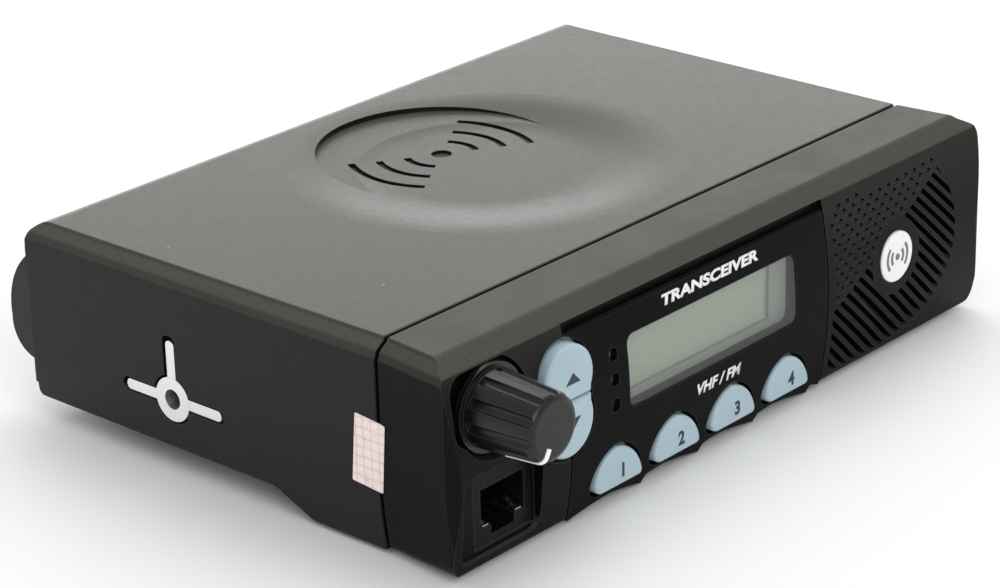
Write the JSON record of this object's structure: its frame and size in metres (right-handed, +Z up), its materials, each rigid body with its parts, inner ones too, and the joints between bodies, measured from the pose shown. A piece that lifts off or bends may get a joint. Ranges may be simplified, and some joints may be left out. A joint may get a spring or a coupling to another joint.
{
  "type": "two-way radio transceiver",
  "caption": "Dash-mount two-way radio with a convex control head, volume knob, display, soft keys, speaker grille and a finned chassis in a sleeve.",
  "frame": {"origin": "under the middle of the radio, on the plane that its underside rests on", "axes": "+X to the right seen from the front and along the width, +Y from the front panel to the rear, +Z up"},
  "size_m": [0.1694, 0.1374, 0.0436],
  "materials": {
    "black_abs": "fine moulded texture, near black",
    "black_painted_cover": "satin black textured coat",
    "black_rubber": "black seal rubber",
    "bright_steel": "bright turned steel",
    "capacitor_sleeve": "dark blue sleeve",
    "cast_aluminium": "die cast, bare bright on the side bosses",
    "chip_epoxy": "moulded epoxy",
    "circuit_board": "green solder mask",
    "clear_window": "clear hard-coated window",
    "connector_plastic": "black connector body",
    "display_frame": "grey-green bezel behind the window",
    "fascia_plastic": "smooth satin black",
    "ferrite": "dark ferrite",
    "flex_film": "amber polyimide",
    "gold_contacts": "gold plated",
    "jack_plastic": "black nylon",
    "key_plastic": "pale blue-grey rubber key",
    "knob_rubber": "satin black fluted knob",
    "lcd_glass": "reflective grey-green LCD, blank",
    "light_guide": "translucent guide",
    "nickel_plate": "nickel plated",
    "silicone": "grey silicone",
    "smoked_lens": "dark status light lens, unlit",
    "speaker_cloth": "black acoustic cloth",
    "speaker_paper": "doped black paper",
    "speaker_steel": "black pressed steel",
    "sticker_paper": "pale pink seal paper with a faint grid",
    "tinned_steel": "tinned sheet",
    "white_insulator": "white fluoropolymer",
    "white_plastic": "white moulded plastic"
  },
  "bodies": {
    "root": {"accessory_housing": "connector_plastic", "accessory_pins": "gold_contacts", "antenna_contact": "gold_contacts", "antenna_insulator": "white_insulator", "antenna_shell": "nickel_plate", "audio_amplifier": "chip_epoxy", "backlight_guide": "light_guide", "board_connectors": "connector_plastic", "board_screws": "bright_steel", "capacitors": "capacitor_sleeve", "chassis": "cast_aluminium", "control_board": "circuit_board", "control_head_housing": "black_abs", "cover_gasket": "black_rubber", "crystal_unit": "tinned_steel", "display_window": "clear_window", "fascia_panel": "fascia_plastic", "grille_badge": "white_plastic", "grille_cloth": "speaker_cloth", "head_gasket": "black_rubber", "ic_chips": "chip_epoxy", "keypad_membrane": "silicone", "knob_nut": "tinned_steel", "lcd_holder": "display_frame", "lcd_panel": "lcd_glass", "main_board": "circuit_board", "mic_jack_body": "jack_plastic", "mic_jack_clips": "bright_steel", "mic_jack_contacts": "gold_contacts", "pa_clamp": "tinned_steel", "pa_transistors": "chip_epoxy", "power_housing": "connector_plastic", "power_pins": "tinned_steel", "receiver_shield": "tinned_steel", "ribbon_cable": "flex_film", "seal_sticker": "sticker_paper", "speaker_frame": "speaker_steel", "speaker_magnet": "ferrite", "status_lights": "smoked_lens", "switch_domes": "tinned_steel", "synthesiser_shield": "tinned_steel", "top_cover": "black_painted_cover", "volume_pot": "tinned_steel"},
    "volume_knob": {"volume_knob": "knob_rubber", "knob_pointer": "white_plastic", "knob_shaft": "bright_steel"},
    "key_up": {"key_up": "key_plastic"},
    "key_down": {"key_down": "key_plastic"},
    "key_1": {"key_1": "key_plastic"},
    "key_2": {"key_2": "key_plastic"},
    "key_3": {"key_3": "key_plastic"},
    "key_4": {"key_4": "key_plastic"},
    "speaker_cone": {"speaker_cone": "speaker_paper"}
  },
  "joints": [
    {"name": "volume_turn", "type": "hinge", "parent": "root", "child": "volume_knob", "pos_m": [-0.0723, -0.05765, 0.0322], "axis": [0, 1, 0], "range_deg": [0, 300]},
    {"name": "key_up_press", "type": "slide", "parent": "root", "child": "key_up", "axis": [0, 1, 0], "range_m": [0, 0.0012], "stiffness_N_per_m": 800},
    {"name": "key_down_press", "type": "slide", "parent": "root", "child": "key_down", "axis": [0, 1, 0], "range_m": [0, 0.0012], "stiffness_N_per_m": 800},
    {"name": "key_1_press", "type": "slide", "parent": "root", "child": "key_1", "axis": [0, 1, 0], "range_m": [0, 0.0012], "stiffness_N_per_m": 800},
    {"name": "key_2_press", "type": "slide", "parent": "root", "child": "key_2", "axis": [0, 1, 0], "range_m": [0, 0.0012], "stiffness_N_per_m": 800},
    {"name": "key_3_press", "type": "slide", "parent": "root", "child": "key_3", "axis": [0, 1, 0], "range_m": [0, 0.0012], "stiffness_N_per_m": 800},
    {"name": "key_4_press", "type": "slide", "parent": "root", "child": "key_4", "axis": [0, 1, 0], "range_m": [0, 0.0012], "stiffness_N_per_m": 800},
    {"name": "cone_travel", "type": "slide", "parent": "root", "child": "speaker_cone", "axis": [0, 1, 0], "range_m": [-0.0005, 0.0005], "stiffness_N_per_m": 2000}
  ]
}
